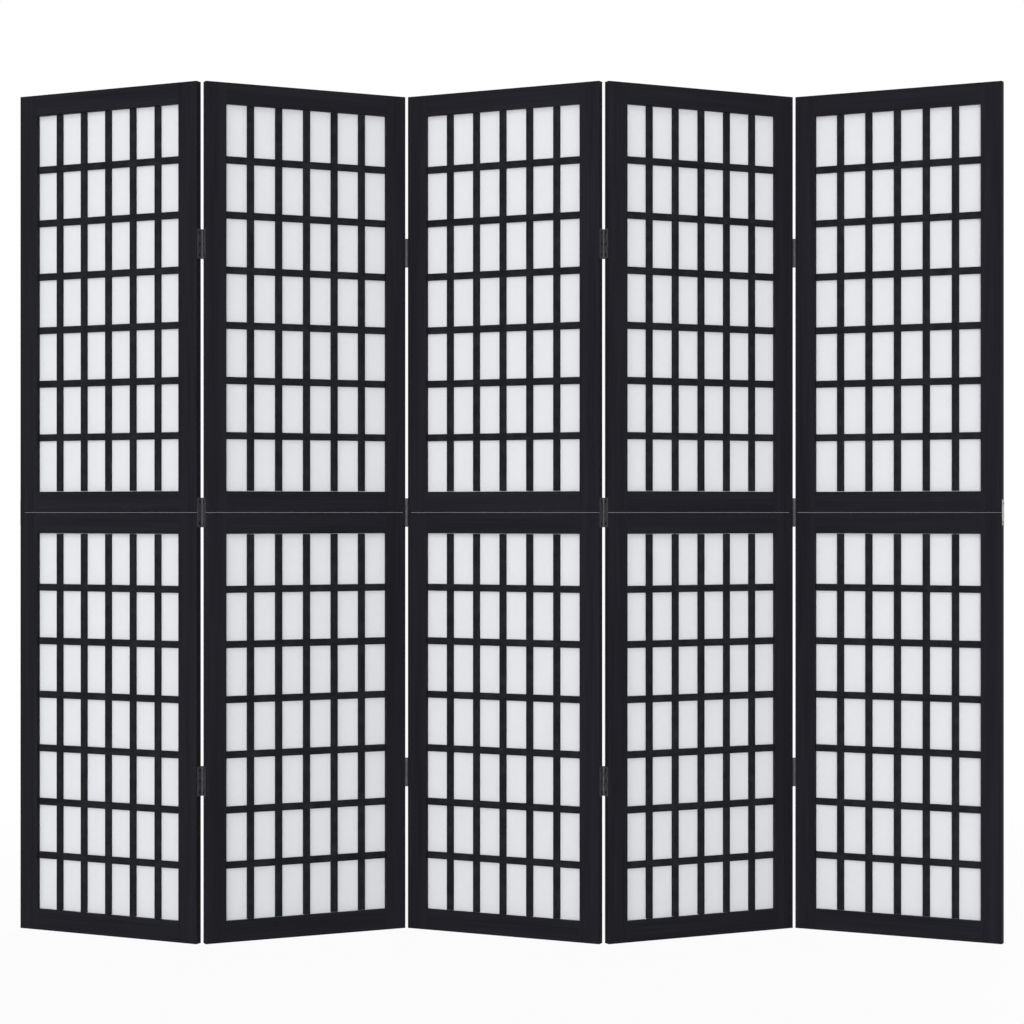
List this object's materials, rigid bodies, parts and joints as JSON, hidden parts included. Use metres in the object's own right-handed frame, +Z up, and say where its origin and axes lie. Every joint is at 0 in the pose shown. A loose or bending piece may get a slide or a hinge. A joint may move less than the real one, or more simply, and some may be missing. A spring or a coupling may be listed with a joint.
{
  "type": "folding screen",
  "caption": "Free-standing folding screen of hinged black wooden panels, each split into an upper and a lower frame with a lattice over a white sheet.",
  "frame": {"origin": "on the floor, under the middle of the middle panel, which is the middle of the screen as it stands", "axes": "+X along the screen to the right as seen from the front, +Y from the front to the back, +Z up"},
  "size_m": [1.8614, 0.1842, 1.6],
  "materials": {
    "frame_wood": "matt black paint",
    "lattice_wood": "matt black paint",
    "white_sheet": "white non-woven cloth",
    "hinge_steel": "dark grey lacquered steel",
    "plate_steel": "satin steel"
  },
  "bodies": {
    "panel_1": {"panel_1_left_stiles": "frame_wood", "panel_1_right_stiles": "frame_wood", "panel_1_bottom_rail": "frame_wood", "panel_1_middle_rails": "frame_wood", "panel_1_top_rail": "frame_wood", "panel_1_lower_lattice": "lattice_wood", "panel_1_upper_lattice": "lattice_wood", "panel_1_lower_sheet": "white_sheet", "panel_1_upper_sheet": "white_sheet", "hinge_1_2_left_leaves": "hinge_steel", "hinge_1_2_pins": "hinge_steel", "left_joining_plate": "plate_steel"},
    "panel_2": {"panel_2_left_stiles": "frame_wood", "panel_2_right_stiles": "frame_wood", "panel_2_bottom_rail": "frame_wood", "panel_2_middle_rails": "frame_wood", "panel_2_top_rail": "frame_wood", "panel_2_lower_lattice": "lattice_wood", "panel_2_upper_lattice": "lattice_wood", "panel_2_lower_sheet": "white_sheet", "panel_2_upper_sheet": "white_sheet", "hinge_1_2_right_leaves": "hinge_steel", "hinge_2_3_left_leaves": "hinge_steel", "hinge_2_3_pins": "hinge_steel"},
    "panel_3": {"panel_3_left_stiles": "frame_wood", "panel_3_right_stiles": "frame_wood", "panel_3_bottom_rail": "frame_wood", "panel_3_middle_rails": "frame_wood", "panel_3_top_rail": "frame_wood", "panel_3_lower_lattice": "lattice_wood", "panel_3_upper_lattice": "lattice_wood", "panel_3_lower_sheet": "white_sheet", "panel_3_upper_sheet": "white_sheet", "hinge_2_3_right_leaves": "hinge_steel", "hinge_3_4_left_leaves": "hinge_steel", "hinge_3_4_pins": "hinge_steel"},
    "panel_4": {"panel_4_left_stiles": "frame_wood", "panel_4_right_stiles": "frame_wood", "panel_4_bottom_rail": "frame_wood", "panel_4_middle_rails": "frame_wood", "panel_4_top_rail": "frame_wood", "panel_4_lower_lattice": "lattice_wood", "panel_4_upper_lattice": "lattice_wood", "panel_4_lower_sheet": "white_sheet", "panel_4_upper_sheet": "white_sheet", "hinge_3_4_right_leaves": "hinge_steel", "hinge_4_5_left_leaves": "hinge_steel", "hinge_4_5_pins": "hinge_steel"},
    "panel_5": {"panel_5_left_stiles": "frame_wood", "panel_5_right_stiles": "frame_wood", "panel_5_bottom_rail": "frame_wood", "panel_5_middle_rails": "frame_wood", "panel_5_top_rail": "frame_wood", "panel_5_lower_lattice": "lattice_wood", "panel_5_upper_lattice": "lattice_wood", "panel_5_lower_sheet": "white_sheet", "panel_5_upper_sheet": "white_sheet", "hinge_4_5_right_leaves": "hinge_steel", "right_joining_plate": "plate_steel"}
  },
  "joints": [
    {"name": "fold_2_3", "type": "hinge", "parent": "panel_3", "child": "panel_2", "pos_m": [-0.18652, 0.07511, 0.8], "axis": [0, 0, 1], "range_deg": [-50.4, 129.6]},
    {"name": "fold_1_2", "type": "hinge", "parent": "panel_2", "child": "panel_1", "pos_m": [-0.55956, -0.07511, 0.8], "axis": [0, 0, -1], "range_deg": [-50.4, 129.6]},
    {"name": "fold_3_4", "type": "hinge", "parent": "panel_3", "child": "panel_4", "pos_m": [0.18652, -0.07511, 0.8], "axis": [0, 0, 1], "range_deg": [-50.4, 129.6]},
    {"name": "fold_4_5", "type": "hinge", "parent": "panel_4", "child": "panel_5", "pos_m": [0.55956, 0.07511, 0.8], "axis": [0, 0, -1], "range_deg": [-50.4, 129.6]}
  ],
  "couplings": [
    {"joint": "fold_1_2", "follows": "fold_2_3", "ratio": 1},
    {"joint": "fold_4_5", "follows": "fold_3_4", "ratio": 1}
  ]
}
